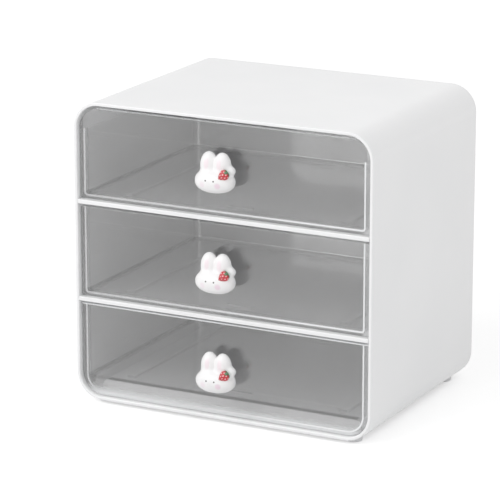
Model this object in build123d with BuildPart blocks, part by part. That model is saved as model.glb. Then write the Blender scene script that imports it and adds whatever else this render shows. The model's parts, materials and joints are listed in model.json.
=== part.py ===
from build123d import *
import os

# Desktop organizer: a white rounded shell with three clear pull-out drawers.
# Millimetres. Seen from the front, +X is right, +Y is back and +Z is up.
# The origin is on the table, under the middle of the organizer's whole depth.

os.makedirs("parts", exist_ok=True)

# Shell, a rounded tube that is open at the front
shell_width = 240.0
shell_depth = 180.0
shell_radius = 20.0
shell_wall = 2.5
rim_round = 0.8

# Bays, from the table up, and the boards between them
bottom_bay_height = 72.0
middle_bay_height = 70.6
top_bay_height = 71.0
shelf_thickness = 3.2
shelf_gap = 0.15
shelf_edge_round = 0.6

# Ribs on the side walls that hold the boards, one above and one below each
groove_rib_width = 2.4
groove_rib_height = 2.0
groove_rib_setback = 20.0

# Back panel, set into a rebate at the back end of the shell
panel_thickness = 2.5
panel_gap = 0.15
rebate = 1.0

# Raised deck on the shell's floor, which carries the bottom drawer
deck_height = 9.5
deck_wall = 2.0
deck_edge_round = 5.0
deck_side_gap = 11.5
deck_gap = 0.15
deck_setback = 11.0

# Runners on the boards and the deck
runner_edge_gap = 10.5
runner_width = 5.0
runner_setback = 24.0
slide_gap = 0.3

# Feet
foot_height = 2.5
foot_radius = 6.0
foot_side_inset = 18.0
foot_end_inset = 11.5
foot_lap = 2.0
foot_round = 0.8

# Drawer front plates
plate_recess = 3.0
plate_thickness = 2.5
plate_side_gap = 0.5
plate_bottom_gap = 0.6
plate_top_gap = 2.2
plate_corner_round = 1.5
plate_edge_round = 0.6

# Drawer tubs
tub_side_gap = 3.9
tub_back_gap = 2.5
tub_wall = 2.0
tub_lift = 2.5
tub_headroom = 2.6
tub_corner_clear = 0.9
tub_corner_radius = 6.0
tub_edge_round = 3.0
tub_inner_round = 1.2
tub_lip_round = 0.6
gate_radius = 2.0
gate_height = 0.5

# Skirt behind the bottom plate, which carries the tub's outline down to the rounded corners
skirt_depth = 6.0
skirt_bottom_inset = 1.9

# Keels under the tubs, beside the runners, and the stop that ends the travel, 130 mm out
keel_thickness = 1.5
keel_gap = 0.6
keel_end_inset = 8.0
stop_width = 20.0
stop_thickness = 3.0
stop_height = 1.4
stop_setback = 32.2

# Rabbit-head knobs: a head, two ears and a small side lobe, all ellipsoids
knob_stand = 8.8
head_half_width = 15.9
head_half_depth = 9.2
head_half_height = 8.9
head_drop = 5.7
head_forward = 1.2
ear_half_width = 6.6
ear_half_depth = 5.6
ear_half_height = 10.0
ear_spread = 5.3
ear_rise = 5.0
lobe_radius = 3.4
lobe_side = 12.2
lobe_rise = 2.2
boss_radius = 6.0

# Berry and leaf on the knob
berry_half_width = 3.8
berry_half_depth = 2.4
berry_half_height = 4.4
berry_side = 8.9
berry_drop = 0.2
berry_forward = 6.2
berry_tilt = 42.0
leaf_half_length = 2.7
leaf_half_depth = 2.6
leaf_half_height = 1.3
leaf_sink = 0.4
glue_gap = 0.1

# Knob fixings
screw_radius = 1.45
screw_hole_gap = 0.3
screw_length = 10.0
screw_head_radius = 3.0
screw_head_height = 2.4
screw_head_round = 0.8
screw_slot_width = 0.8
screw_slot_depth = 1.0
washer_radius = 4.5
washer_thickness = 0.8
insert_radius = 2.3
insert_length = 6.0
insert_gap = 0.08
insert_sink = 0.4
bore_spare = 1.6

# One overrun for all cuts
cut_overrun = 1.0

# Places worked out from the sizes
inner_width = shell_width - 2 * shell_wall
inner_height = bottom_bay_height + middle_bay_height + top_bay_height + 2 * shelf_thickness
inner_radius = shell_radius - shell_wall
shell_height = inner_height + 2 * shell_wall
knob_overhang = knob_stand + head_forward + head_half_depth - plate_recess
front_y = (knob_overhang - shell_depth) / 2
back_y = front_y + shell_depth
panel_y = back_y - panel_thickness
shell_mid_z = foot_height + shell_height / 2
floor_z = foot_height + shell_wall
deck_z = floor_z + deck_height
lower_shelf_z = floor_z + bottom_bay_height
lower_shelf_top = lower_shelf_z + shelf_thickness
upper_shelf_z = lower_shelf_top + middle_bay_height
upper_shelf_top = upper_shelf_z + shelf_thickness
ceiling_z = upper_shelf_top + top_bay_height
plate_y = front_y + plate_recess
plate_back_y = plate_y + plate_thickness
plate_width = inner_width - 2 * plate_side_gap
plate_round_corner = inner_radius - plate_side_gap
tub_width = inner_width - 2 * tub_side_gap
tub_back_y = panel_y - tub_back_gap
tub_depth = tub_back_y - plate_back_y
deck_width = inner_width - 2 * deck_side_gap
runner_span = deck_width - 2 * (deck_edge_round + runner_edge_gap) - runner_width
runner_height = tub_lift - slide_gap
runner_front_y = front_y + runner_setback
runner_length = panel_y - panel_gap - runner_front_y
keel_x = runner_span / 2 - runner_width / 2 - keel_gap - keel_thickness / 2
keel_front_y = runner_front_y
keel_back_y = tub_back_y - keel_end_inset
stop_rib_y = keel_back_y - stop_thickness / 2
stop_bump_y = front_y + stop_setback
knob_y = plate_y - knob_stand


def facing_front(y):
    """The upright plane at depth y that faces the user, with X to the right and Z up."""
    return Plane.XZ.offset(-y)


def finish(builder, name):
    """Labels a finished piece and writes it to its own file."""
    builder.part.label = name
    export_step(builder.part, f"parts/{name}.step")


def add_runners(top_z):
    """Adds the two runners and the drawer stop to the board whose upper face is at top_z."""
    runner_y = runner_front_y + runner_length / 2
    with Locations((0, runner_y, top_z + runner_height / 2)):
        with GridLocations(runner_span, 0, 2, 1):
            Box(runner_width, runner_length, runner_height)
    with Locations((0, stop_bump_y, top_z + stop_height / 2)):
        Box(stop_width, stop_thickness, stop_height)


def ellipsoid(half_x, half_y, half_z, grow=0):
    """A unit ball drawn out to three half axes, each longer by grow."""
    half_axes = (half_x + grow, half_y + grow, half_z + grow)
    return scale(Sphere(1, mode=Mode.PRIVATE), by=half_axes, mode=Mode.PRIVATE)


def rabbit_form(mid_z, grow=0, mode=Mode.ADD):
    """Adds or cuts away the rabbit's head, ears and side lobe around the knob's middle."""
    head = ellipsoid(head_half_width, head_half_depth, head_half_height, grow)
    add(Pos(0, knob_y - head_forward, mid_z - head_drop) * head, mode=mode)
    for ear_x in (-ear_spread, ear_spread):
        ear = ellipsoid(ear_half_width, ear_half_depth, ear_half_height, grow)
        add(Pos(ear_x, knob_y, mid_z + ear_rise) * ear, mode=mode)
    lobe = ellipsoid(lobe_radius, lobe_radius, lobe_radius, grow)
    add(Pos(lobe_side, knob_y, mid_z + lobe_rise) * lobe, mode=mode)


# Shell
with BuildPart() as shell:
    with BuildSketch(facing_front(front_y)):
        with Locations((0, shell_mid_z)):
            RectangleRounded(shell_width, shell_height, shell_radius)
            RectangleRounded(inner_width, inner_height, inner_radius, mode=Mode.SUBTRACT)
    extrude(amount=-shell_depth)
    with BuildSketch(facing_front(back_y)):
        with Locations((0, shell_mid_z)):
            RectangleRounded(inner_width + 2 * rebate, inner_height + 2 * rebate, inner_radius + rebate)
    extrude(amount=panel_thickness, mode=Mode.SUBTRACT)
    fillet(shell.edges().group_by(Axis.Y)[0], rim_round)
    fillet(shell.faces().sort_by(Axis.Y)[-1].outer_wire().edges(), rim_round)
    rib_length = panel_y - front_y - groove_rib_setback
    rib_y = panel_y - rib_length / 2
    for shelf_z in (lower_shelf_z, upper_shelf_z):
        for rib_z in (shelf_z - groove_rib_height / 2, shelf_z + shelf_thickness + groove_rib_height / 2):
            with Locations((0, rib_y, rib_z)):
                with GridLocations(inner_width - groove_rib_width, 0, 2, 1):
                    Box(groove_rib_width, rib_length, groove_rib_height)
finish(shell, "shell")

# Back panel
with BuildPart() as back_panel:
    with BuildSketch(facing_front(back_y)):
        with Locations((0, shell_mid_z)):
            RectangleRounded(
                inner_width + 2 * (rebate - panel_gap),
                inner_height + 2 * (rebate - panel_gap),
                inner_radius + rebate - panel_gap,
            )
    extrude(amount=panel_thickness)
finish(back_panel, "back_panel")

# Shelf boards
shelf_depth = panel_y - panel_gap - front_y
for shelf_name, shelf_z in (("lower_shelf", lower_shelf_z), ("upper_shelf", upper_shelf_z)):
    with BuildPart() as shelf:
        with BuildSketch(Plane.XY.offset(shelf_z)):
            with Locations((0, front_y + shelf_depth / 2)):
                Rectangle(inner_width - 2 * shelf_gap, shelf_depth)
        extrude(amount=shelf_thickness)
        fillet(shelf.edges().filter_by(Axis.X).group_by(Axis.Y)[0], shelf_edge_round)
        add_runners(shelf_z + shelf_thickness)
    finish(shelf, shelf_name)

# Deck, an upside-down tray that follows the shell's floor and lower corners
deck_front_y = plate_y + deck_setback
deck_depth = panel_y - panel_gap - deck_front_y
with BuildPart() as floor_deck:
    with BuildSketch(facing_front(deck_front_y)):
        with Locations((0, shell_mid_z)):
            RectangleRounded(inner_width - 2 * deck_gap, inner_height - 2 * deck_gap, inner_radius - deck_gap)
        with Locations((0, floor_z + deck_height / 2)):
            Rectangle(deck_width, deck_height, mode=Mode.INTERSECT)
    extrude(amount=-deck_depth)
    upper_edges = floor_deck.edges().group_by(Axis.Z)[-1]
    fillet(upper_edges.filter_by(Axis.Y), deck_edge_round)
    with BuildSketch(Plane.XY.offset(floor_z)):
        with Locations((0, deck_front_y + deck_depth / 2)):
            Rectangle(deck_width - 2 * deck_edge_round, deck_depth - 2 * deck_wall)
    extrude(amount=deck_height - deck_wall, mode=Mode.SUBTRACT)
    add_runners(deck_z)
finish(floor_deck, "floor_deck")

# Feet, which lap up round the shell's lower corners
foot_x = shell_width / 2 - foot_side_inset
feet = {
    "foot_front_left": (-foot_x, front_y + foot_end_inset),
    "foot_front_right": (foot_x, front_y + foot_end_inset),
    "foot_rear_left": (-foot_x, back_y - foot_end_inset),
    "foot_rear_right": (foot_x, back_y - foot_end_inset),
}
for foot_name, foot_place in feet.items():
    with BuildPart() as foot:
        with BuildSketch(Plane.XY):
            with Locations(foot_place):
                Circle(foot_radius)
        extrude(amount=foot_height + foot_lap)
        fillet(foot.edges().group_by(Axis.Z)[0], foot_round)
        with BuildSketch(facing_front(front_y)):
            with Locations((0, shell_mid_z)):
                RectangleRounded(shell_width + 2 * glue_gap, shell_height + 2 * glue_gap, shell_radius + glue_gap)
        extrude(amount=-shell_depth, mode=Mode.SUBTRACT)
    finish(foot, foot_name)


def make_tray(name, bay_floor, bay_top, run_z, tub_top, top_corner, bottom_corner):
    """One clear drawer: a front plate and a tub that rides just above the runners at run_z.

    The plate fills its bay, and its corners are rounded where the shell's are.
    Where its lower corners follow the shell, a skirt carries the tub's outline down to them.
    """
    plate_bottom = bay_floor + plate_bottom_gap
    plate_top = bay_top - plate_top_gap
    plate_mid = (plate_bottom + plate_top) / 2
    tub_bottom = run_z + tub_lift
    tub_floor = tub_bottom + tub_wall
    with BuildPart() as tray:
        with BuildSketch(facing_front(plate_y)) as outline:
            with Locations((0, plate_mid)):
                Rectangle(plate_width, plate_top - plate_bottom)
            fillet(outline.vertices().group_by(Axis.Y)[-1], top_corner)
            fillet(outline.vertices().group_by(Axis.Y)[0], bottom_corner)
        extrude(amount=-plate_thickness)
        fillet(tray.edges().group_by(Axis.Y)[0], plate_edge_round)
        with BuildSketch(Plane.XY.offset(tub_bottom)) as footprint:
            with Locations((0, plate_back_y + tub_depth / 2)):
                Rectangle(tub_width, tub_depth)
            fillet(footprint.vertices().group_by(Axis.Y)[-1], tub_corner_radius)
        extrude(amount=tub_top - tub_bottom)
        under_edges = tray.edges().filter_by_position(Axis.Z, tub_bottom, tub_bottom)
        fillet(under_edges.filter_by(lambda edge: edge.center().Y > plate_back_y + tub_wall), tub_edge_round)
        with BuildSketch(Plane.XY.offset(tub_floor)) as pocket:
            with Locations((0, plate_back_y + (tub_depth - tub_wall) / 2)):
                Rectangle(tub_width - 2 * tub_wall, tub_depth - tub_wall)
            fillet(pocket.vertices().group_by(Axis.Y)[-1], tub_corner_radius - tub_wall)
        extrude(amount=tub_top - tub_floor + cut_overrun, mode=Mode.SUBTRACT)
        fillet(tray.edges().filter_by_position(Axis.Z, tub_floor, tub_floor), tub_inner_round)
        lip_edges = tray.edges().filter_by_position(Axis.Z, tub_top, tub_top)
        fillet(lip_edges.filter_by(lambda edge: edge.center().Y > plate_back_y + tub_wall), tub_lip_round)
        if bottom_corner == plate_round_corner:
            skirt_bottom = plate_bottom + skirt_bottom_inset
            skirt_radius = plate_round_corner - (plate_width - tub_width) / 2
            ring_height = plate_top - skirt_bottom
            with BuildSketch(facing_front(plate_back_y)):
                with Locations((0, skirt_bottom + ring_height / 2)):
                    RectangleRounded(tub_width, ring_height, skirt_radius)
                    RectangleRounded(
                        tub_width - 2 * tub_wall,
                        ring_height - 2 * tub_wall,
                        skirt_radius - tub_wall,
                        mode=Mode.SUBTRACT,
                    )
                skirt_height = tub_bottom + tub_edge_round - skirt_bottom
                with Locations((0, skirt_bottom + skirt_height / 2)):
                    Rectangle(tub_width, skirt_height, mode=Mode.INTERSECT)
            extrude(amount=-skirt_depth)
        keel_length = keel_back_y - keel_front_y
        with Locations((0, keel_front_y + keel_length / 2, tub_bottom - runner_height / 2)):
            with GridLocations(2 * keel_x, 0, 2, 1):
                Box(keel_thickness, keel_length, runner_height)
        with Locations((0, stop_rib_y, tub_bottom - runner_height / 2)):
            Box(stop_width, stop_thickness, runner_height)
        with BuildSketch(Plane.XY.offset(tub_bottom)):
            with Locations((0, plate_back_y + tub_depth / 2)):
                Circle(gate_radius)
        extrude(amount=-gate_height)
        with BuildSketch(facing_front(plate_y)):
            with Locations((0, plate_mid)):
                Circle(screw_radius + screw_hole_gap)
        extrude(amount=-plate_thickness, mode=Mode.SUBTRACT)
    finish(tray, name)
    return plate_mid


def make_knob(drawer, mid_z):
    """The rabbit-head knob of one drawer with its berry, leaf, insert, screw and washer."""
    with BuildPart() as knob:
        rabbit_form(mid_z)
        with BuildSketch(facing_front(plate_y)):
            with Locations((0, mid_z)):
                Circle(boss_radius)
        extrude(amount=knob_stand)
        with BuildSketch(facing_front(plate_y)):
            with Locations((0, mid_z)):
                Circle(insert_radius + insert_gap)
        extrude(amount=insert_sink + insert_length + bore_spare, mode=Mode.SUBTRACT)
    finish(knob, f"{drawer}_knob")

    berry_place = Location((berry_side, knob_y - berry_forward, mid_z - berry_drop), (0, berry_tilt, 0))
    with BuildPart() as berry:
        add(berry_place * ellipsoid(berry_half_width, berry_half_depth, berry_half_height))
        rabbit_form(mid_z, glue_gap, Mode.SUBTRACT)
    finish(berry, f"{drawer}_berry")

    leaf_place = berry_place * Pos(0, 0, berry_half_height - leaf_sink)
    with BuildPart() as leaf:
        add(leaf_place * ellipsoid(leaf_half_length, leaf_half_depth, leaf_half_height))
        rabbit_form(mid_z, glue_gap, Mode.SUBTRACT)
        berry_form = ellipsoid(berry_half_width, berry_half_depth, berry_half_height, glue_gap)
        add(berry_place * berry_form, mode=Mode.SUBTRACT)
    finish(leaf, f"{drawer}_leaf")

    with BuildPart() as insert:
        with BuildSketch(facing_front(plate_y - insert_sink)):
            with Locations((0, mid_z)):
                Circle(insert_radius)
                Circle(screw_radius + insert_gap, mode=Mode.SUBTRACT)
        extrude(amount=insert_length)
    finish(insert, f"{drawer}_knob_insert")

    washer_back_y = plate_back_y + washer_thickness
    with BuildPart() as washer:
        with BuildSketch(facing_front(washer_back_y)):
            with Locations((0, mid_z)):
                Circle(washer_radius)
                Circle(screw_radius + screw_hole_gap, mode=Mode.SUBTRACT)
        extrude(amount=washer_thickness)
    finish(washer, f"{drawer}_knob_washer")

    head_back_y = washer_back_y + screw_head_height
    with BuildPart() as screw:
        with BuildSketch(facing_front(head_back_y)):
            with Locations((0, mid_z)):
                Circle(screw_head_radius)
        extrude(amount=screw_head_height)
        fillet(screw.edges().group_by(Axis.Y)[-1], screw_head_round)
        with BuildSketch(facing_front(washer_back_y)):
            with Locations((0, mid_z)):
                Circle(screw_radius)
        extrude(amount=screw_length)
        with Locations((0, head_back_y - screw_slot_depth / 2, mid_z)):
            Box(2 * screw_head_radius, screw_slot_depth, screw_slot_width, mode=Mode.SUBTRACT)
    finish(screw, f"{drawer}_knob_screw")


# Drawers, from the table up
bottom_mid = make_tray(
    "bottom_tray", floor_z, lower_shelf_z, deck_z, lower_shelf_z - tub_headroom,
    plate_corner_round, plate_round_corner,
)
middle_mid = make_tray(
    "middle_tray", lower_shelf_top, upper_shelf_z, lower_shelf_top, upper_shelf_z - tub_headroom,
    plate_corner_round, plate_corner_round,
)
top_mid = make_tray(
    "top_tray", upper_shelf_top, ceiling_z, upper_shelf_top, ceiling_z - inner_radius - tub_corner_clear,
    plate_round_corner, plate_corner_round,
)
make_knob("bottom", bottom_mid)
make_knob("middle", middle_mid)
make_knob("top", top_mid)
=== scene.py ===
"""Looks of a desktop organizer with three clear drawers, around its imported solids.

The shell, boards, deck, feet, drawers and fixings are the solids themselves with new materials.
The knobs, berries and leaves are new surfaces, worked out as arrays.
Lengths are in metres, in the frame of the solids, or in mm where a comment or docstring says so.
"""
import json
import math
from types import SimpleNamespace

import bpy
import numpy as np
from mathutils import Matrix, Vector


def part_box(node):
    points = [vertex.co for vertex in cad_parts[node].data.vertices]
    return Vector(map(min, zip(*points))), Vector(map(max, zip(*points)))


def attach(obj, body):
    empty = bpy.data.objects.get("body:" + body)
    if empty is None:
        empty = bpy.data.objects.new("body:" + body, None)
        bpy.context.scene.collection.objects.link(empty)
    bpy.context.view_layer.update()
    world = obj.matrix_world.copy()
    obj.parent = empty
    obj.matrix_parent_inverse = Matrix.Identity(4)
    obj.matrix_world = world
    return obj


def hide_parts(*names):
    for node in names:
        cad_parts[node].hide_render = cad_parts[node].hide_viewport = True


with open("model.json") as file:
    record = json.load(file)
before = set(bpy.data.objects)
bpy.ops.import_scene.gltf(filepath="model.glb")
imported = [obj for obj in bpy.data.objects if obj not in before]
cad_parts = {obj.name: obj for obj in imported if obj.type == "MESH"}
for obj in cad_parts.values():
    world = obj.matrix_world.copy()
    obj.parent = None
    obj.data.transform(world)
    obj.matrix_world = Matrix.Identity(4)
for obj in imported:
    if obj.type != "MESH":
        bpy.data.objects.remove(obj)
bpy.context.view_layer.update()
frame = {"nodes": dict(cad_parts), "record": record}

bl_info = {
    "name": "Desktop Drawer Organizer",
    "version": (1, 0, 0),
    "blender": (4, 5, 0),
    "location": "View3D > Sidebar > Organizer",
    "description": "Dresses the packed organizer and sets up its studio",
    "category": "Object",
}

DRAWERS = ("bottom", "middle", "top")
WHITE_NODES = ("shell", "back_panel")
BOARD_NODES = ("lower_shelf", "upper_shelf", "floor_deck")
FOOT_NODES = ("foot_front_left", "foot_front_right", "foot_rear_left", "foot_rear_right")
MM = 0.001

# Below, an edge is a pair: where a mark starts and where it is full

# Moulded plastic: a slow cloud that picks its tone and roughness, and a very fine grain
CLOUD_SCALE = 14.0
CLOUD_EDGE = (0.3, 0.7)
CLOUD_ROUGHNESS = 0.06
GRAIN_SCALE = 2600.0
GRAIN_DETAIL = 2.0
GRAIN_DEPTH = 0.0002
COAT_ROUGHNESS = 0.12

# Painted shade on the boards: its tone, edges in mm up from a board's upper face and back from the
# deck's front, and how far a face must look ahead
PAINTED_SHADE_TONE = (0.2, 0.2, 0.2, 1.0)
AHEAD_EDGE = (0.5, 0.9)
RAIL_HEIGHT = (0.1, 0.3)
DECK_LINE_HEIGHT = (-0.6, -0.2)
DECK_LINE_DEPTH = (7.0, 4.0)

# Finish of the metal fixings
METAL_SCALE = 900.0
METAL_DETAIL = 4.0
METAL_ROUGHNESS = 0.12

# Painted highlights and painted shade on a drawer's plate: edges in mm from the plate's faces, the tub's
# wall line, its top and right side
PLATE_FRONT = (0.5, 0.2)
PLATE_BACK = (0.1, 0.3)
PLATE_TOP = (-0.9, -0.4)
PLATE_SIDE = (-0.8, -0.4)
WALL_LINE = (0.95, 0.4)
WALL_LINE_TOP = (0.8, 0.0)
MARGIN = (0.9, 1.3)
RIGHT_MARGIN = (-3.0, 0.0)

# Painted shade along the lower side edges of a drawer's tub, and where it gleams: edges in mm from its
# floor, top, back and sides, and shares of the full gleam
SIDE_LOW_HEIGHT = (1.4, 0.7)
SIDE_LOW_WIDTH = (-1.2, -0.5)
BACK_LOW_HEIGHT = (1.6, 0.8)
BACK_LOW_DEPTH = (-4.0, -3.2)
BACK_SIDE_DEPTH = (-6.4, -5.2)
BACK_SIDE_WIDTH = (-4.6, -3.6)
LIP_HEIGHT = (-0.7, -0.3)
BACK_SIDE_GLEAM = 0.7
LIP_GLEAM = 0.5

# Clear plastic: faint wisps in it, how rough it mirrors, and how its mirror grows at a glancing angle
WISP_SCALE = 30.0
WISP_DETAIL = 4.0
WISP_EDGE = (0.35, 0.75)
WISP_SHADE = 0.01
WISP_ROUGHNESS = 0.015
GLOSS_ROUGHNESS = 0.02
GLEAM_ROUGHNESS = 0.4
GLANCING_POWER = 5.0

# How softly the forms of the knob melt together, in mm
EAR_MELT = 1.0
HEAD_MELT = 3.0
LOBE_MELT = 2.4
BOSS_MELT = 0.8

# Search for the knob's surface along rays: its start and its step inwards in mm, how often it is halved,
# and the least divisor in it
RAY_REACH = 24.0
RAY_STEP = 0.25
RAY_HALVINGS = 14
TINY = 1e-9

# Painted face: middle across and up, half width, half height in mm, and softness of each spot. Then the
# depth at which the paint starts, where the left half turns into the right one, both in mm, and the left
# cheek's strength as a share of the right one's. The left cheek is painted fainter as painted light, where
# the lamp at the left washes it out
EYE_SPOT = (3.15, -4.0, 0.56, 0.56, 0.4)
CHEEK_SPOT = (6.1, -7.2, 2.1, 2.0, 0.9)
INNER_EAR_SPOT = (5.0, 7.3, 1.8, 3.9, 0.8)
PAINT_DEPTH = (-1.5, -3.0)
FACE_MIDDLE = (-1.0, 1.0)
LEFT_CHEEK = 0.45

# Resin of the knob: the scales of its cloud and its waves, per mm, and what they do to its finish
RESIN_CLOUD = 0.12
RESIN_WAVES = 0.6
RESIN_CLOUD_ROUGHNESS = 0.05
RESIN_COAT_ROUGHNESS = 0.1
RESIN_WAVE_STRENGTH = 0.08
RESIN_WAVE_DEPTH = 0.0003

# Berry: rows and columns of its grid, its seeds, and the parts of its taper that go with the powers 0, 1
# and 2 of the height
BERRY_GRID = (48, 72)
SEED_ROWS = 4.5
SEEDS_ROUND = 8.0
SEED_EDGE = (0.35, 0.75)
SEED_STRENGTH = 0.9
SEED_ROUGHNESS = 0.1
SEED_RELIEF = 0.4
SEED_DEPTH = 0.0002
BERRY_TAPER = (0.92, 0.49, -0.13)

# Leaf: rows and columns of its grid, its lobes, how pointed they are, and how far its edge comes down as
# shares of the berry's half height: at least, by a lobe, and more by a lobe at the front
LEAF_GRID = (28, 120)
LEAF_LOBES = 5.0
LEAF_POINT = 1.4
LEAF_LEAST = 0.08
LEAF_LOBE = 0.14
LEAF_FRONT_LOBE = 0.40

# Leaf: its upper face, its lower face and where they meet, as shares of the berry's girth, its flare and
# droop, and its veins
LEAF_UPPER = 1.09
LEAF_LOWER = 1.01
LEAF_MEET = 1.05
LEAF_FLARE = 0.07
LEAF_DROOP = 1.6
VEIN_EDGE = (0.8, 1.0)
VEIN_REACH = (0.0, 0.4)
VEIN_STRENGTH = 0.6
VEIN_ROUGHNESS = 0.1

# Light paths, enough to see through all the clear walls, and the camera's sensor in mm and furthest view
MAX_BOUNCES = 16
DIFFUSE_BOUNCES = 6
CLEAR_BOUNCES = 40
SENSOR_WIDTH = 36.0
VIEW_END = 50.0


class Sock:
    """A shader socket that takes part in sums like a number."""

    def __init__(self, tree, out=None):
        self.tree = tree
        self.out = out

    def node(self, kind, inputs=None, output=0, **settings):
        """A new node with these settings and inputs, by name or number; returns one of its outputs."""
        made = self.tree.nodes.new(kind)
        for name, value in settings.items():
            setattr(made, name, value)
        for name, value in (inputs or {}).items():
            if isinstance(value, Sock):
                self.tree.links.new(value.out, made.inputs[name])
            else:
                made.inputs[name].default_value = value
        return Sock(self.tree, made.outputs[output] if made.outputs else None)

    def math(self, operation, first, second=0.0):
        return self.node("ShaderNodeMath", {0: first, 1: second}, operation=operation)

    def __add__(self, other):
        return self.math("ADD", self, other)

    def __radd__(self, other):
        return self.math("ADD", other, self)

    def __sub__(self, other):
        return self.math("SUBTRACT", self, other)

    def __rsub__(self, other):
        return self.math("SUBTRACT", other, self)

    def __mul__(self, other):
        return self.math("MULTIPLY", self, other)

    def __rmul__(self, other):
        return self.math("MULTIPLY", other, self)

    def __truediv__(self, other):
        return self.math("DIVIDE", self, other)

    def __rtruediv__(self, other):
        return self.math("DIVIDE", other, self)

    def __pow__(self, other):
        return self.math("POWER", self, other)

    def __rpow__(self, other):
        return self.math("POWER", other, self)

    def __abs__(self):
        return self.math("ABSOLUTE", self)

    def least(self, other):
        return self.math("MINIMUM", self, other)

    def most(self, other):
        return self.math("MAXIMUM", self, other)

    def rise(self, edge, origin=0.0):
        """Goes smoothly from 0 to 1 between the two ends of an edge, which are counted from the origin.
        The first end may be the larger one."""
        ends = {"From Min": origin + edge[0], "From Max": origin + edge[1]}
        return self.node("ShaderNodeMapRange", {"Value": self, **ends}, interpolation_type="SMOOTHSTEP")

    def axes(self):
        """The three parts of a vector."""
        return [self.node("ShaderNodeSeparateXYZ", {0: self}, output=i) for i in range(3)]

    def blend(self, first, second):
        """From the first colour to the second as this goes from 0 to 1."""
        return self.node("ShaderNodeMix", {0: self, 6: first, 7: second}, output=2, data_type="RGBA")

    def noise(self, scale, detail=3.0):
        """Noise over these coordinates, from about 0 to 1."""
        return self.node("ShaderNodeTexNoise", {"Vector": self, "Scale": scale, "Detail": detail})


def grey(level):
    """A grey of this level as a colour."""
    return (level, level, level, 1.0)


def new_material(name):
    """An empty material: its start socket, and a call that ends it with a shader."""
    material = bpy.data.materials.new(name)
    material.use_nodes = True
    material.node_tree.nodes.clear()
    start = Sock(material.node_tree)

    def end(shader):
        start.node("ShaderNodeOutputMaterial", {"Surface": shader})
        return material

    return start, end


def new_object(name, data):
    """A new object in the scene."""
    made = bpy.data.objects.new(name, data)
    bpy.context.scene.collection.objects.link(made)
    return made


def seen_ray(start):
    """1 for light on its way to the eye, straight or by way of a mirror or glass, and 0 for the rest."""
    camera, glossy, glass = (start.node("ShaderNodeLightPath", output=name)
                             for name in ("Is Camera Ray", "Is Glossy Ray", "Is Transmission Ray"))
    return camera.most(glossy).most(glass)


def plastic_tone(start, light, dark):
    """Object coordinates, a slow cloud over them, and the tone between two that the cloud picks."""
    place = start.node("ShaderNodeTexCoord", output="Object")
    cloud = place.noise(CLOUD_SCALE).rise(CLOUD_EDGE)
    return place, cloud, cloud.blend(tuple(light), tuple(dark))


def plastic_shader(place, cloud, tone, roughness, grain, coat):
    """Moulded plastic of this tone, with a roughness that wanders and a very fine grain."""
    fine = place.noise(GRAIN_SCALE, GRAIN_DETAIL)
    bump = place.node("ShaderNodeBump", {"Strength": grain, "Distance": GRAIN_DEPTH, "Height": fine})
    return place.node("ShaderNodeBsdfPrincipled", {
        "Base Color": tone,
        "Roughness": roughness + CLOUD_ROUGHNESS * cloud,
        "Coat Weight": coat,
        "Coat Roughness": COAT_ROUGHNESS,
        "Normal": bump,
    })


def moulded(name, light, dark, roughness, grain, coat):
    """A plain moulded plastic between two close tones."""
    start, end = new_material(name)
    place, cloud, tone = plastic_tone(start, light, dark)
    return end(plastic_shader(place, cloud, tone, roughness, grain, coat))


def board_plastic(node, look):
    """The white plastic of a board or the deck.

    What stands up from it, the runners and the stop, carries painted shade where it faces the front. The
    deck's front face is painted a greyer tone as painted shade, with a line of painted shade along its
    edge, where the drawer rests close above it.
    """
    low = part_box(node)[0] / MM
    deck = node == "floor_deck"
    top = low.z + (look.deck_height if deck else look.board_height) / MM
    start, end = new_material(f"{node}_plastic")
    place, cloud, tone = plastic_tone(start, look.light, look.dark)
    y, z = [v / MM for v in place.axes()[1:]]
    normal = start.node("ShaderNodeNewGeometry", output="Normal")
    ahead = (0.0 - normal.axes()[1]).rise(AHEAD_EDGE)
    # Painted shade on the front faces of the runners and the stop
    shade = ahead * z.rise(RAIL_HEIGHT, top) * look.rail_painted_shade
    if deck:
        # Painted shade: the deck's front face greyer, and a shaded line along its top front edge
        tone = ahead.blend(tone, tuple(look.deck))
        line = z.rise(DECK_LINE_HEIGHT, top) * y.rise(DECK_LINE_DEPTH, low.y)
        shade = shade.most(line * look.deck_line)
    tone = shade.blend(tone, PAINTED_SHADE_TONE)
    return end(plastic_shader(place, cloud, tone, look.roughness, look.grain, look.coat))


def metal(name, light, dark, roughness):
    """A bare metal with a fine, uneven finish."""
    start, end = new_material(name)
    finish = start.node("ShaderNodeTexCoord", output="Object").noise(METAL_SCALE, METAL_DETAIL)
    return end(start.node("ShaderNodeBsdfPrincipled", {
        "Base Color": finish.blend(tuple(light), tuple(dark)),
        "Roughness": roughness + METAL_ROUGHNESS * finish,
        "Metallic": 1.0,
    }))


def wall_line(x, z, half_width, low, corner):
    """How far a point of the plate lies outside the middle line of the tub's side walls and floor,
    whose lower corners are round; below zero inside it."""
    across = abs(x) - (half_width - corner)
    down = (low + corner) - z
    outside = (across.most(0.0) ** 2.0 + down.most(0.0) ** 2.0) ** 0.5
    return outside + across.most(down).least(0.0) - corner


def drawer_sizes(drawer, look):
    """Sizes and places of one drawer in mm: the corners of its box, its plate's back, its tub's half width,
    wall, floor and top, and the lowest point and the corner radius of the tub's line on the plate."""
    low, high = (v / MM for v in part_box(f"{drawer}_tray"))
    inside = next(o["box_m"] for o in frame["record"]["physics"]["openings"]
                  if o["name"] == f"{drawer}_drawer_inside")
    wall = look.wall / MM
    floor = (inside[0][2] - look.opening_lift) / MM
    line_low, corner = floor - wall / 2.0, look.corner / MM
    if drawer == "bottom":
        line_low, corner = low.z + look.skirt_rise / MM, look.skirt_corner / MM
    return SimpleNamespace(
        low=low, high=high, wall=wall, floor=floor, line_low=line_low, corner=corner,
        plate_back=low.y + look.plate_thickness / MM,
        half=high.x - look.plate_margin / MM,
        top=inside[1][2] / MM)


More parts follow.
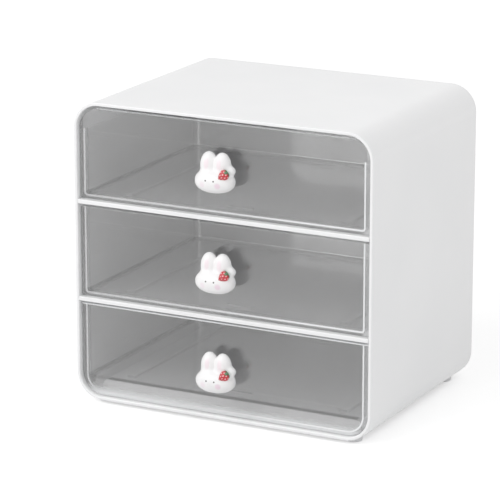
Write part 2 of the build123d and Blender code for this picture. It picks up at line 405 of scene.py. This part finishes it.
def drawer_marks(drawer, look, place):
    """How much painted light, painted shade and gleam one drawer has, from place to place.

    Painted highlights, mixed in as an opaque pale paint, are the ends of the tub's side walls and floor,
    seen through the plate as a line, the plate beside its right wall, its upper and side edges, and the foot
    of the bottom plate. Painted shade dims the rest of the plate's margin and the tub's lower edges along
    its sides. The tub's far edges and its lip gleam.
    """
    size = drawer_sizes(drawer, look)
    x, y, z = [v / MM for v in place.axes()]
    side = abs(x)
    front = y.rise(PLATE_FRONT, size.low.y)
    behind = y.rise(PLATE_BACK, size.plate_back)
    away = wall_line(x, z, size.half - size.wall / 2.0, size.line_low, size.corner)
    margin = front * away.rise(MARGIN)
    right = x.rise(RIGHT_MARGIN, size.half)

    # Painted highlights: the line of the wall ends, weaker on the left, the right margin, and the plate's
    # top and side edges
    line = front * abs(away).rise(WALL_LINE) * z.rise(WALL_LINE_TOP, size.top)
    line = line * (look.left_line_highlight + (look.right_line_highlight - look.left_line_highlight) * x.rise((-size.half, size.half)))
    top_edge = (1.0 - behind) * z.rise(PLATE_TOP, size.high.z) * look.rim_painted_highlight[DRAWERS.index(drawer)]
    side_edge = (1.0 - behind) * side.rise(PLATE_SIDE, size.high.x) * look.side_painted_highlight
    pale = line.most(margin * right * look.margin_painted_light).most(top_edge).most(side_edge)
    if drawer == "bottom":
        # Painted light along the bottom plate's lower edge, brighter downwards
        foot = z.rise((look.foot_height / MM, 0.0), size.low.z)
        pale = pale.most(front * foot * look.foot_painted_light)

    # Painted shade: the plate's left and lower margin, and the tub's lower edges along its sides
    inner_half = size.half - size.wall
    side_low = behind * z.rise(SIDE_LOW_HEIGHT, size.floor) * side.rise(SIDE_LOW_WIDTH, inner_half)
    dark = (margin * (1.0 - right) * look.margin_shade).most(side_low * look.edge_shade)

    back_low = y.rise(BACK_LOW_DEPTH, size.high.y) * z.rise(BACK_LOW_HEIGHT, size.floor)
    back_side = y.rise(BACK_SIDE_DEPTH, size.high.y) * side.rise(BACK_SIDE_WIDTH, size.half)
    lip = behind * z.rise(LIP_HEIGHT, size.top)
    gleam = back_low.most(BACK_SIDE_GLEAM * back_side).most(LIP_GLEAM * lip)
    return pale, dark, gleam


def drawer_plastic(drawer, look):
    """Clear smoky plastic of one drawer.

    It lets light straight through, dimmed only on its way to the eye, by the same share at each of a wall's
    two faces. It mirrors more at a glancing angle, and its gleaming edges mirror more and less sharply.
    """
    start, end = new_material(f"clear_{drawer}")
    place = start.node("ShaderNodeTexCoord", output="Object")
    pale, dark, gleam = drawer_marks(drawer, look, place)
    wisp = place.noise(WISP_SCALE, WISP_DETAIL).rise(WISP_EDGE)
    smoke = 1.0 - look.clear[DRAWERS.index(drawer)] ** 0.5
    # Painted shade from drawer_marks dims the plastic further on its way to the eye
    dimmed = seen_ray(start) * (smoke + dark + WISP_SHADE * wisp)
    through, stopped = (start.node("ShaderNodeBsdfTransparent", {"Color": grey(c)}) for c in (1.0, 0.0))
    clear = start.node("ShaderNodeMixShader", {0: dimmed, 1: through, 2: stopped})
    facing = start.node("ShaderNodeLayerWeight", {"Blend": 0.5}, output="Facing")
    mirror = look.mirror + (1.0 - look.mirror) * facing ** GLANCING_POWER
    mirror = mirror.most(gleam * look.edge_gleam)
    roughness = GLOSS_ROUGHNESS + WISP_ROUGHNESS * wisp + GLEAM_ROUGHNESS * gleam
    gloss = start.node("ShaderNodeBsdfGlossy", {"Color": grey(1.0), "Roughness": roughness})
    body = start.node("ShaderNodeMixShader", {0: mirror, 1: clear, 2: gloss})
    # Painted highlights: an opaque pale diffuse paint, mixed in where drawer_marks paints light
    glow = start.node("ShaderNodeBsdfDiffuse", {"Color": tuple(look.glow)})
    return end(start.node("ShaderNodeMixShader", {0: pale, 1: body, 2: glow}))


def dress(nodes, material):
    """Puts one material on each of these solids."""
    for name in nodes:
        mesh = frame["nodes"][name].data
        mesh.materials.clear()
        mesh.materials.append(material)


def ball_rows(grid):
    """The points of a grid whose first and last rows are poles, with one point for each pole."""
    return np.concatenate((grid[:1, 0], grid[1:-1].reshape(-1, grid.shape[-1]), grid[-1:, 0]))


def ball_faces(rows, columns):
    """The faces between those points: a fan at each pole and four-cornered faces between the other rows,
    whose columns close on themselves."""
    column = np.arange(columns)
    after = (column + 1) % columns
    row = 1 + columns * np.arange(rows - 3)[:, None]
    corners = (row + column, row + after, row + columns + after, row + columns + column)
    bands = np.stack(corners, -1).reshape(-1, 4)
    last_row = 1 + columns * (rows - 3)
    first_fan = np.stack((np.zeros_like(column), 1 + after, 1 + column), -1)
    last_fan = np.stack((last_row + column, last_row + after, np.full_like(column, last_row + columns)), -1)
    return first_fan.tolist() + bands.tolist() + last_fan.tolist()


def ball_piece(name, points, material, local):
    """A closed piece from a grid of points, whose columns go round and whose first and last rows are poles.
    The local grid is kept with the points for the material."""
    faces = ball_faces(*points.shape[:2])
    mesh = bpy.data.meshes.new(name)
    mesh.from_pydata(ball_rows(points).tolist(), [], faces)
    mesh.polygons.foreach_set("use_smooth", np.ones(len(faces), bool))
    store = mesh.attributes.new("local", "FLOAT_VECTOR", "POINT")
    store.data.foreach_set("vector", ball_rows(local).reshape(-1).astype(np.float32))
    mesh.materials.append(material)
    mesh.validate()
    return new_object(name, mesh)


def ellipsoid_gap(p, centre, half, power=2.0):
    """About how far points are outside an ellipsoid, below zero inside. With a higher power than 2
    the ellipsoid is squarer."""
    half = np.array(half)
    share = np.abs(p - np.array(centre)) / half
    reach = np.sum(share ** power, -1) ** (1.0 / power)
    slope = np.linalg.norm(share ** (power - 1.0) / half, axis=-1) / np.maximum(reach, TINY) ** (power - 1.0)
    return (reach - 1.0) / np.maximum(slope, TINY)


def soft_least(a, b, k):
    """The lesser of two distances, rounded off over a width k where they meet."""
    h = np.clip(0.5 + 0.5 * (b - a) / k, 0.0, 1.0)
    return b + (a - b) * h - k * h * (1.0 - h)


def rabbit_gap(p, look):
    """About how far points, in mm from the knob's middle, are outside the rabbit: its head, ears,
    lobe and boss, melted together."""
    head, ear, lobe = (np.array(v) / MM for v in (look.head_place, look.ear_place, look.lobe_place))
    ear_half = np.array(look.ear_half) / MM
    boss_radius, stand = look.boss_radius / MM, look.stand / MM
    gap = ellipsoid_gap(p, head, np.array(look.head_half) / MM, look.head_power)
    left_ear, right_ear = (ellipsoid_gap(p, ear * (way, 1.0, 1.0), ear_half) for way in (-1.0, 1.0))
    gap = soft_least(gap, soft_least(left_ear, right_ear, EAR_MELT), HEAD_MELT)
    gap = soft_least(gap, ellipsoid_gap(p, lobe, [look.lobe_radius / MM] * 3), LOBE_MELT)
    boss_side = np.hypot(p[..., 0], p[..., 2]) - boss_radius
    boss_end = np.abs(p[..., 1] - stand / 2.0) - stand / 2.0
    return soft_least(gap, np.maximum(boss_side, boss_end), BOSS_MELT)


def rabbit_points(look):
    """The rabbit's surface in mm: along rays from its middle, which fan out from straight ahead to straight
    back and all round, the furthest point still inside. Each ray is walked inwards, then halved."""
    polar = np.linspace(0.0, math.pi, look.rows)[:, None]
    turn = np.linspace(0.0, 2.0 * math.pi, look.columns, endpoint=False)[None, :]
    parts = (np.sin(polar) * np.sin(turn), -np.cos(polar), np.sin(polar) * np.cos(turn))
    ray = np.stack(np.broadcast_arrays(*parts), -1)
    outer = np.full(ray.shape[:2], RAY_REACH)
    inner = np.zeros(ray.shape[:2])
    found = np.zeros(ray.shape[:2], bool)
    for reach in np.arange(RAY_REACH, 0.0, -RAY_STEP):
        hit = ~found & (rabbit_gap(ray * reach, look) < 0.0)
        inner[hit] = reach
        outer[hit] = reach + RAY_STEP
        found |= hit
    for _ in range(RAY_HALVINGS):
        middle = (inner + outer) / 2.0
        out = rabbit_gap(ray * middle[..., None], look) > 0.0
        outer = np.where(out, middle, outer)
        inner = np.where(out, inner, middle)
    return ray * inner[..., None]


def spot(x, z, centre_x, centre_z, half_x, half_z, soft):
    """A soft-edged oval on the knob's front, 1 in its middle and 0 outside."""
    reach = ((x - centre_x) / half_x) ** 2.0 + ((z - centre_z) / half_z) ** 2.0
    return reach.rise((1.0 + soft, 1.0 - soft))


def knob_resin(look):
    """White satin resin with a painted face: two dot eyes, faint pink cheeks and inner ears."""
    start, end = new_material("knob_resin")
    place = start.node("ShaderNodeAttribute", output="Vector", attribute_name="local")
    x, y, z = place.axes()
    side = abs(x)
    paint = y.rise(PAINT_DEPTH)
    eye = paint * spot(side, z, *EYE_SPOT)
    # Painted light: the left cheek is painted fainter, where the lamp at the left washes it out
    cheek = paint * spot(side, z, *CHEEK_SPOT) * (LEFT_CHEEK + (1.0 - LEFT_CHEEK) * x.rise(FACE_MIDDLE))
    inner_ear = paint * spot(side, z, *INNER_EAR_SPOT)
    cloud = place.noise(RESIN_CLOUD).rise(CLOUD_EDGE)
    base = cloud.blend(tuple(look.resin_light), tuple(look.resin_dark))
    base = (cheek * look.blush).blend(base, tuple(look.cheek))
    base = (inner_ear * look.blush).blend(base, tuple(look.inner_ear))
    base = eye.blend(base, tuple(look.eye))
    height = place.noise(RESIN_WAVES)
    waves = {"Strength": RESIN_WAVE_STRENGTH, "Distance": RESIN_WAVE_DEPTH, "Height": height}
    return end(start.node("ShaderNodeBsdfPrincipled", {
        "Base Color": base,
        "Roughness": look.resin_roughness + RESIN_CLOUD_ROUGHNESS * cloud,
        "Coat Weight": look.resin_coat,
        "Coat Roughness": RESIN_COAT_ROUGHNESS,
        "Normal": start.node("ShaderNodeBump", waves),
    }))


def berry_skin(look):
    """Red skin with rows of pale seeds, staggered from row to row."""
    start, end = new_material("berry_skin")
    turn, along, _ = start.node("ShaderNodeAttribute", output="Vector", attribute_name="local").axes()
    row = along * SEED_ROWS
    wave = start.math("COSINE", turn * SEEDS_ROUND + start.math("FLOOR", row) * math.pi)
    band = start.math("SINE", start.math("FRACT", row) * math.pi)
    seed = (wave * band).rise(SEED_EDGE)
    skin = along.rise((0.0, 1.0)).blend(tuple(look.berry_tip), tuple(look.berry_crown))
    relief = {"Strength": SEED_RELIEF, "Distance": SEED_DEPTH, "Height": seed}
    return end(start.node("ShaderNodeBsdfPrincipled", {
        "Base Color": (seed * SEED_STRENGTH).blend(skin, tuple(look.seed)),
        "Roughness": look.berry_roughness + SEED_ROUGHNESS * seed,
        "Coat Weight": look.berry_coat,
        "Normal": start.node("ShaderNodeBump", relief),
    }))


def leaf_skin(look):
    """Green leaf, paler along its veins."""
    start, end = new_material("leaf_skin")
    turn, out, _ = start.node("ShaderNodeAttribute", output="Vector", attribute_name="local").axes()
    vein = start.math("SINE", turn * LEAF_LOBES).rise(VEIN_EDGE) * out.rise(VEIN_REACH)
    return end(start.node("ShaderNodeBsdfPrincipled", {
        "Base Color": (vein * VEIN_STRENGTH).blend(tuple(look.leaf), tuple(look.vein)),
        "Roughness": look.leaf_roughness + VEIN_ROUGHNESS * vein,
    }))


def berry_frame(look):
    """The berry's own axes in the part's frame: across, outward and towards its leaf. Its way up leans to
    the right and then lies down square to the way outward from the head."""
    outward = np.array(look.berry_outward) / np.linalg.norm(look.berry_outward)
    up = np.array((math.sin(look.berry_tilt), 0.0, math.cos(look.berry_tilt)))
    up -= np.dot(up, outward) * outward
    up /= np.linalg.norm(up)
    return np.array((np.cross(up, outward), outward, up))


def berry_girth(height):
    """The berry's girth as a share of its widest, from its tip at -1 to its crown at 1: a half circle,
    drawn in towards the tip."""
    taper = sum(part * height ** power for power, part in enumerate(BERRY_TAPER))
    return np.sqrt(np.maximum(1.0 - height ** 2, 0.0)) * taper


def berry_points(rows, columns):
    """The berry's surface, turned round its girth from crown to tip. Returns the points across, outward
    and up as shares of its half size, with the turn and the height from 0 to 1."""
    height = np.cos(np.linspace(0.0, math.pi, rows))[:, None]
    turn = np.linspace(0.0, 2.0 * math.pi, columns, endpoint=False)[None, :]
    girth = berry_girth(height)
    parts = (girth * np.cos(turn), girth * np.sin(turn), height, turn, (height + 1.0) / 2.0)
    return np.stack(np.broadcast_arrays(*parts), -1)


def leaf_points(rows, columns):
    """A cap of five pointed lobes that lies on the berry's crown: a slightly larger copy of the crown, whose
    edge swings down and up five times a turn, furthest at the front. The rows go out over the upper face to
    the edge and back over the lower face. Returns points as berry_points does, with the turn and the way out
    from 0 to 1."""
    half = rows // 2
    out = np.concatenate([np.linspace(0.0, 1.0, half), np.linspace(1.0, 0.0, half)[1:]])[:, None]
    thick = np.concatenate([np.full(half, LEAF_UPPER), np.full(half - 1, LEAF_LOWER)])[:, None]
    turn = np.linspace(0.0, 2.0 * math.pi, columns, endpoint=False)[None, :]
    lobe = (0.5 + 0.5 * np.sin(LEAF_LOBES * turn)) ** LEAF_POINT
    edge = LEAF_LEAST + (LEAF_LOBE + LEAF_FRONT_LOBE * np.maximum(np.sin(turn), 0.0) ** 2) * lobe
    height = 1.0 - out ** LEAF_DROOP * edge
    grow = thick + LEAF_FLARE * out ** 3 - (thick - LEAF_MEET) * out ** 6
    girth = berry_girth(height) * grow
    parts = (girth * np.cos(turn), girth * np.sin(turn), height * grow, turn, out)
    return np.stack(np.broadcast_arrays(*parts), -1)


def floor_piece(look):
    """A square floor that takes light and shadow as a pale sheet does. To the eye it is brighter by a lift,
    which grows away from the organizer, so that it looks white."""
    half = look.floor_size / 2.0
    mesh = bpy.data.meshes.new("floor")
    corners = [(-half, -half, 0.0), (half, -half, 0.0), (half, half, 0.0), (-half, half, 0.0)]
    mesh.from_pydata(corners, [], [(0, 1, 2, 3)])
    start, end = new_material("floor_white")
    lit = start.node("ShaderNodeBsdfDiffuse", {"Color": tuple(look.floor_tone)})
    x, y, _ = start.node("ShaderNodeTexCoord", output="Object").axes()
    far = ((x ** 2.0 + y ** 2.0) ** 0.5).rise((look.far_start, look.far_end))
    glow = (look.floor_lift + look.far_lift * far) * seen_ray(start)
    lift = start.node("ShaderNodeEmission", {"Color": glow, "Strength": 1.0})
    mesh.materials.append(end(start.node("ShaderNodeAddShader", {0: lit, 1: lift})))
    return new_object("floor", mesh)


def studio_world(look):
    """Even light from all round, which the eye sees as white."""
    world = bpy.data.worlds.new("studio")
    world.use_nodes = True
    world.node_tree.nodes.clear()
    start = Sock(world.node_tree)
    tone = look.sky + (1.0 - look.sky) * seen_ray(start)
    glow = start.node("ShaderNodeBackground", {"Color": tone, "Strength": 1.0})
    start.node("ShaderNodeOutputWorld", {"Surface": glow})
    return world


def soft_lamp(name, watts, place, size, aim):
    """A square lamp at this place that shines towards the aim."""
    lamp = bpy.data.lights.new(name, "AREA")
    lamp.energy = watts
    lamp.size = size
    hung = new_object(name, lamp)
    hung.location = place
    hung.rotation_euler = (Vector(aim) - hung.location).to_track_quat("-Z", "Y").to_euler()
    return hung


def view_camera(look):
    """The camera, turned round the organizer and tipped down."""
    lens = bpy.data.cameras.new("view")
    lens.sensor_width = SENSOR_WIDTH
    lens.lens = look.lens
    lens.clip_end = VIEW_END
    camera = new_object("view", lens)
    camera.location = look.camera
    camera.rotation_euler = (math.pi / 2.0 - look.elevation, 0.0, look.azimuth)
    return camera


def number_prop(name, description, default):
    return bpy.props.FloatProperty(name=name, description=description, default=default)


def count_prop(name, description, default):
    return bpy.props.IntProperty(name=name, description=description, default=default)


def length_prop(name, description, default):
    return bpy.props.FloatProperty(name=name, description=description, default=default, unit="LENGTH")


def angle_prop(name, description, degrees):
    return bpy.props.FloatProperty(
        name=name, description=description, default=math.radians(degrees), subtype="ANGLE")


def drawers_prop(name, description, default):
    return bpy.props.FloatVectorProperty(
        name=name, description=f"{description}: bottom, middle and top", default=default, size=3)


def way_prop(name, description, default):
    return bpy.props.FloatVectorProperty(
        name=name, description=description, default=default, size=3, subtype="XYZ")


def place_prop(name, description, default):
    return bpy.props.FloatVectorProperty(
        name=name, description=description, default=default, size=3, subtype="XYZ", unit="LENGTH")


def tone_prop(name, description, red, green, blue):
    return bpy.props.FloatVectorProperty(
        name=name, description=description, default=(red, green, blue, 1.0), size=4, subtype="COLOR")


class ShellLook(bpy.types.PropertyGroup):
    """The white shell, its boards and its feet"""
    light: tone_prop("Light tone", "Lighter tone of the white plastic", 0.90, 0.90, 0.905)
    dark: tone_prop("Dark tone", "Darker tone of the white plastic", 0.885, 0.887, 0.893)
    roughness: number_prop("Roughness", "Roughness of the white plastic", 0.32)
    grain: number_prop("Grain", "Strength of the fine moulded grain", 0.05)
    coat: number_prop("Coat", "Weight of the gloss over the plastic", 0.15)
    board_height: length_prop("Board height", "Thickness of the boards between the drawers", 0.0032)
    # Painted shade on the runners' ends
    rail_painted_shade: number_prop("Rail shade", "Darkness of the runners' ends", 0.45)
    # Painted shade on the deck: a grey tone on its front face, and a shaded line along its edge
    deck: tone_prop("Deck tone", "Tone of the deck's front", 0.62, 0.62, 0.625)
    deck_height: length_prop("Deck height", "Height of the deck", 0.0095)
    deck_line: number_prop("Deck line", "Strength of the shaded line along the deck's front", 0.75)
    foot_light: tone_prop("Foot light tone", "Lighter tone of the feet", 0.84, 0.84, 0.845)
    foot_dark: tone_prop("Foot dark tone", "Darker tone of the feet", 0.79, 0.79, 0.80)
    foot_roughness: number_prop("Foot roughness", "Roughness of the feet", 0.55)
    foot_grain: number_prop("Foot grain", "Strength of the grain of the feet", 0.15)


class DrawerLook(bpy.types.PropertyGroup):
    """The clear drawers and the fixings of their knobs"""
    clear: drawers_prop("Clear", "Share of light to the eye that a wall lets through", (0.885, 0.845, 0.825))
    mirror: number_prop("Mirror", "Share of light that one face mirrors, seen square on", 0.085)
    # Painted highlights: the tone of the opaque pale paint, and how strongly it paints the wall ends' line
    glow: tone_prop("Glow", "Tone of the pale lines and edges", 0.93, 0.94, 0.95)
    left_line_highlight: number_prop("Left line", "Paleness of the left wall's end, seen through the plate", 0.38)
    right_line_highlight: number_prop("Right line", "Paleness of the right wall's end, seen through the plate", 0.85)
    # Painted light on the plate beside its right wall
    margin_painted_light: number_prop("Margin haze", "Paleness of the plate beside its right wall", 0.2)
    # Painted shade on the plate's margin
    margin_shade: number_prop("Margin shade", "Darkness of the plate's left and lower margin", 0.35)
    # Painted light along the bottom plate's lower edge, and how far up it reaches
    foot_painted_light: number_prop("Foot haze", "Paleness of the bottom plate along its lower edge", 0.65)
    foot_height: length_prop("Foot height", "How far up the foot haze reaches", 0.010)
    # Painted highlights on the plate's upper and side edges
    rim_painted_highlight: drawers_prop("Rim glow", "Paleness of the plate's upper edge", (0.95, 0.1, 0.35))
    side_painted_highlight: number_prop("Side glow", "Paleness of the plate's side edges", 0.25)
    edge_gleam: number_prop("Edge gleam", "Share of light that the tub's far edges and lip mirror", 0.85)
    # Painted shade along the tub's lower side edges
    edge_shade: number_prop("Edge shade", "Darkness of the tub's lower edges along its sides", 0.3)
    plate_thickness: length_prop("Plate thickness", "Thickness of the front plate", 0.0025)
    plate_margin: length_prop("Plate margin", "How far the plate stands out beside the tub", 0.0034)
    wall: length_prop("Wall", "Thickness of the tub's walls and floor", 0.002)
    opening_lift: length_prop("Opening lift", "From the tub's floor up to its stated opening", 0.0003)
    corner: length_prop("Corner", "Radius of the tub's lower corners", 0.002)
    skirt_rise: length_prop("Skirt rise", "From the bottom plate's edge up to its skirt", 0.0029)
    skirt_corner: length_prop("Skirt corner", "Radius of the skirt's lower corners", 0.0126)
    steel_light: tone_prop("Steel light tone", "Lighter tone of the screws and washers", 0.66, 0.67, 0.69)
    steel_dark: tone_prop("Steel dark tone", "Darker tone of the screws and washers", 0.52, 0.53, 0.55)
    steel_roughness: number_prop("Steel roughness", "Roughness of the screws and washers", 0.25)
    brass_light: tone_prop("Brass light tone", "Lighter tone of the inserts", 0.71, 0.55, 0.28)
    brass_dark: tone_prop("Brass dark tone", "Darker tone of the inserts", 0.58, 0.43, 0.20)
    brass_roughness: number_prop("Brass roughness", "Roughness of the inserts", 0.3)


class KnobLook(bpy.types.PropertyGroup):
    """The rabbit-head knobs with their berries and leaves"""
    stand: length_prop("Stand", "From the plate to the middle of the knob", 0.0088)
    head_place: place_prop("Head place", "From the knob's middle to the head's", (0.0, -0.0012, -0.0058))
    head_half: place_prop("Head half size", "Half size of the head", (0.0153, 0.0092, 0.0086))
    head_power: number_prop("Head power", "Squareness of the head, 2 for an ellipsoid", 2.25)
    ear_place: place_prop("Ear place", "From the knob's middle to the right ear's", (0.0053, 0.0, 0.0050))
    ear_half: place_prop("Ear half size", "Half size of each ear", (0.0066, 0.0056, 0.0100))
    lobe_place: place_prop("Lobe place", "From the knob's middle to the side lobe's", (0.0120, 0.0, 0.0022))
    lobe_radius: length_prop("Lobe radius", "Radius of the side lobe", 0.0034)
    boss_radius: length_prop("Boss radius", "Radius of the boss behind the head", 0.006)
    rows: count_prop("Rows", "Rows of the knob's grid", 120)
    columns: count_prop("Columns", "Columns of the knob's grid", 240)
    resin_light: tone_prop("Resin light tone", "Lighter tone of the knob", 0.92, 0.91, 0.91)
    resin_dark: tone_prop("Resin dark tone", "Darker tone of the knob", 0.89, 0.885, 0.89)
    resin_roughness: number_prop("Resin roughness", "Roughness of the knob", 0.34)
    resin_coat: number_prop("Resin coat", "Weight of the gloss over the knob", 0.25)
    blush: number_prop("Blush", "Strength of the pink on the face", 0.55)
    cheek: tone_prop("Cheek", "Pink of the cheeks", 0.80, 0.56, 0.69)
    inner_ear: tone_prop("Inner ear", "Pink inside the ears", 0.90, 0.73, 0.79)
    eye: tone_prop("Eye", "Tone of the eyes", 0.02, 0.018, 0.02)
    berry_place: place_prop("Berry place", "From the knob's middle to the berry's", (0.0091, -0.0069, 0.0))
    berry_half: place_prop("Berry half size", "Half size across, outward and up", (0.0038, 0.0024, 0.0042))
    berry_outward: way_prop("Berry outward", "Way out of the head under the berry", (0.22, -0.86, 0.46))
    berry_tilt: angle_prop("Berry tilt", "Lean of the berry to the right", 45.0)
    berry_tip: tone_prop("Berry tip", "Red of the berry's tip", 0.47, 0.015, 0.03)
    berry_crown: tone_prop("Berry crown", "Red of the berry's crown", 0.60, 0.04, 0.055)
    berry_roughness: number_prop("Berry roughness", "Roughness of the berry between its seeds", 0.3)
    berry_coat: number_prop("Berry coat", "Weight of the gloss over the berry", 0.2)
    seed: tone_prop("Seed", "Tone of the seeds", 0.93, 0.70, 0.68)
    leaf: tone_prop("Leaf", "Green of the leaf", 0.09, 0.22, 0.11)
    leaf_roughness: number_prop("Leaf roughness", "Roughness of the leaf between its veins", 0.4)
    vein: tone_prop("Vein", "Green of the leaf's veins", 0.27, 0.42, 0.27)


class StageLook(bpy.types.PropertyGroup):
    """The floor, the light and the camera"""
    floor_size: length_prop("Floor size", "Width of the floor", 12.0)
    floor_tone: tone_prop("Floor tone", "Tone of the floor", 0.84, 0.84, 0.84)
    floor_lift: number_prop("Floor lift", "How much brighter the floor looks than its light makes it", 0.37)
    far_lift: number_prop("Far lift", "How much brighter still the floor looks far from the organizer", 0.2)
    far_start: length_prop("Far start", "Where the far lift starts", 0.5)
    far_end: length_prop("Far end", "Where the far lift is full", 2.0)
    camera: place_prop("Camera", "Place of the camera", (0.97626, -1.92188, 0.70517))
    azimuth: angle_prop("Azimuth", "Turn of the camera round the organizer", 27.359)
    elevation: angle_prop("Elevation", "How far the camera looks down", 15.428)
    lens: number_prop("Lens", "Focal length in mm on a 36 mm sensor", 217.9)
    sky: number_prop("Sky", "Strength of the even light from all round", 0.61)
    aim: place_prop("Aim", "Where the lamps point", (0.0, 0.0, 0.11))
    key: number_prop("Key", "Power of the soft lamp at the front left, in watts", 30.0)
    key_place: place_prop("Key place", "Place of the lamp at the front left", (-1.3, -1.8, 1.45))
    key_size: length_prop("Key size", "Width of the lamp at the front left", 2.2)
    fill: number_prop("Fill", "Power of the soft lamp at the upper right, in watts", 4.0)
    fill_place: place_prop("Fill place", "Place of the lamp at the upper right", (1.0, -0.35, 1.25))
    fill_size: length_prop("Fill size", "Width of the lamp at the upper right", 0.8)


class ORGANIZER_OT_shell(bpy.types.Operator):
    """Dress the shell, the boards, the deck and the feet"""
    bl_idname = "organizer.shell"
    bl_label = "Dress the shell"

    def execute(self, context):
        look = context.scene.organizer_shell
        white = moulded("shell_plastic", look.light, look.dark, look.roughness, look.grain, look.coat)
        dress(WHITE_NODES, white)
        for node in BOARD_NODES:
            dress([node], board_plastic(node, look))
        pad = moulded("foot_pad", look.foot_light, look.foot_dark, look.foot_roughness, look.foot_grain, 0.0)
        dress(FOOT_NODES, pad)
        return {"FINISHED"}


class ORGANIZER_OT_drawers(bpy.types.Operator):
    """Dress the clear drawers and the fixings of their knobs"""
    bl_idname = "organizer.drawers"
    bl_label = "Dress the drawers"

    def execute(self, context):
        look = context.scene.organizer_drawers
        steel = metal("plated_steel", look.steel_light, look.steel_dark, look.steel_roughness)
        brass = metal("turned_brass", look.brass_light, look.brass_dark, look.brass_roughness)
        for drawer in DRAWERS:
            dress([f"{drawer}_tray"], drawer_plastic(drawer, look))
            dress([f"{drawer}_knob_screw", f"{drawer}_knob_washer"], steel)
            dress([f"{drawer}_knob_insert"], brass)
        return {"FINISHED"}


class ORGANIZER_OT_knobs(bpy.types.Operator):
    """Build the rabbit-head knobs with their berries and leaves"""
    bl_idname = "organizer.knobs"
    bl_label = "Build the knobs"

    def execute(self, context):
        look = context.scene.organizer_knobs
        resin, red, green = knob_resin(look), berry_skin(look), leaf_skin(look)
        axes = berry_frame(look) * np.array(look.berry_half)[:, None]
        rabbit = rabbit_points(look)
        berry, leaf = berry_points(*BERRY_GRID), leaf_points(*LEAF_GRID)
        berry_local, leaf_local = (np.pad(g[..., 3:], ((0, 0), (0, 0), (0, 1))) for g in (berry, leaf))
        for drawer in DRAWERS:
            low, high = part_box(f"{drawer}_tray")
            middle = np.array((0.0, low.y - look.stand, (low.z + high.z) / 2.0))
            seat = middle + np.array(look.berry_place)
            knob = ball_piece(f"{drawer}_rabbit", middle + rabbit * MM, resin, rabbit)
            fruit = ball_piece(f"{drawer}_fruit", seat + berry[..., :3] @ axes, red, berry_local)
            cap = ball_piece(f"{drawer}_cap", seat + leaf[..., :3] @ axes, green, leaf_local)
            for piece, node, slot in (
                (knob, "knob", "knob_white"), (fruit, "berry", "berry_red"), (cap, "leaf", "leaf_green"),
            ):
                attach(piece, f"{drawer}_drawer")
                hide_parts(f"{drawer}_{node}")
        return {"FINISHED"}


class ORGANIZER_OT_stage(bpy.types.Operator):
    """Set up the floor, the light and the camera"""
    bl_idname = "organizer.stage"
    bl_label = "Set up the stage"

    def execute(self, context):
        scene = context.scene
        look = scene.organizer_stage
        scene.view_settings.view_transform = "Standard"
        scene.cycles.max_bounces = MAX_BOUNCES
        scene.cycles.diffuse_bounces = DIFFUSE_BOUNCES
        scene.cycles.transparent_max_bounces = CLEAR_BOUNCES
        floor = floor_piece(look)
        scene.world = studio_world(look)
        soft_lamp("key", look.key, look.key_place, look.key_size, look.aim)
        fill = soft_lamp("fill", look.fill, look.fill_place, look.fill_size, look.aim)
        fill.visible_glossy = False
        scene.camera = view_camera(look)
        return {"FINISHED"}


class ORGANIZER_PT_panel(bpy.types.Panel):
    """The organizer's settings and steps"""
    bl_idname = "ORGANIZER_PT_panel"
    bl_label = "Organizer"
    bl_space_type = "VIEW_3D"
    bl_region_type = "UI"
    bl_category = "Organizer"

    def draw(self, context):
        for look, _, step in STEPS:
            column = self.layout.column()
            settings = getattr(context.scene, look)
            for name in type(settings).__annotations__:
                column.prop(settings, name)
            column.operator(step)


# For each step: the scene's settings, their group and the operator
STEPS = (
    ("organizer_shell", ShellLook, "organizer.shell"),
    ("organizer_drawers", DrawerLook, "organizer.drawers"),
    ("organizer_knobs", KnobLook, "organizer.knobs"),
    ("organizer_stage", StageLook, "organizer.stage"),
)
CLASSES = (ShellLook, DrawerLook, KnobLook, StageLook, ORGANIZER_OT_shell, ORGANIZER_OT_drawers,
           ORGANIZER_OT_knobs, ORGANIZER_OT_stage, ORGANIZER_PT_panel)


def register():
    for cls in CLASSES:
        bpy.utils.register_class(cls)
    for name, group, _ in STEPS:
        setattr(bpy.types.Scene, name, bpy.props.PointerProperty(type=group))


def unregister():
    for name, _, _ in STEPS:
        delattr(bpy.types.Scene, name)
    for cls in reversed(CLASSES):
        bpy.utils.unregister_class(cls)


def main():
    """Registers the add-on and runs its steps."""
    register()
    bpy.ops.organizer.shell()
    bpy.ops.organizer.drawers()
    bpy.ops.organizer.knobs()
    bpy.ops.organizer.stage()


if __name__ == "__main__":
    main()
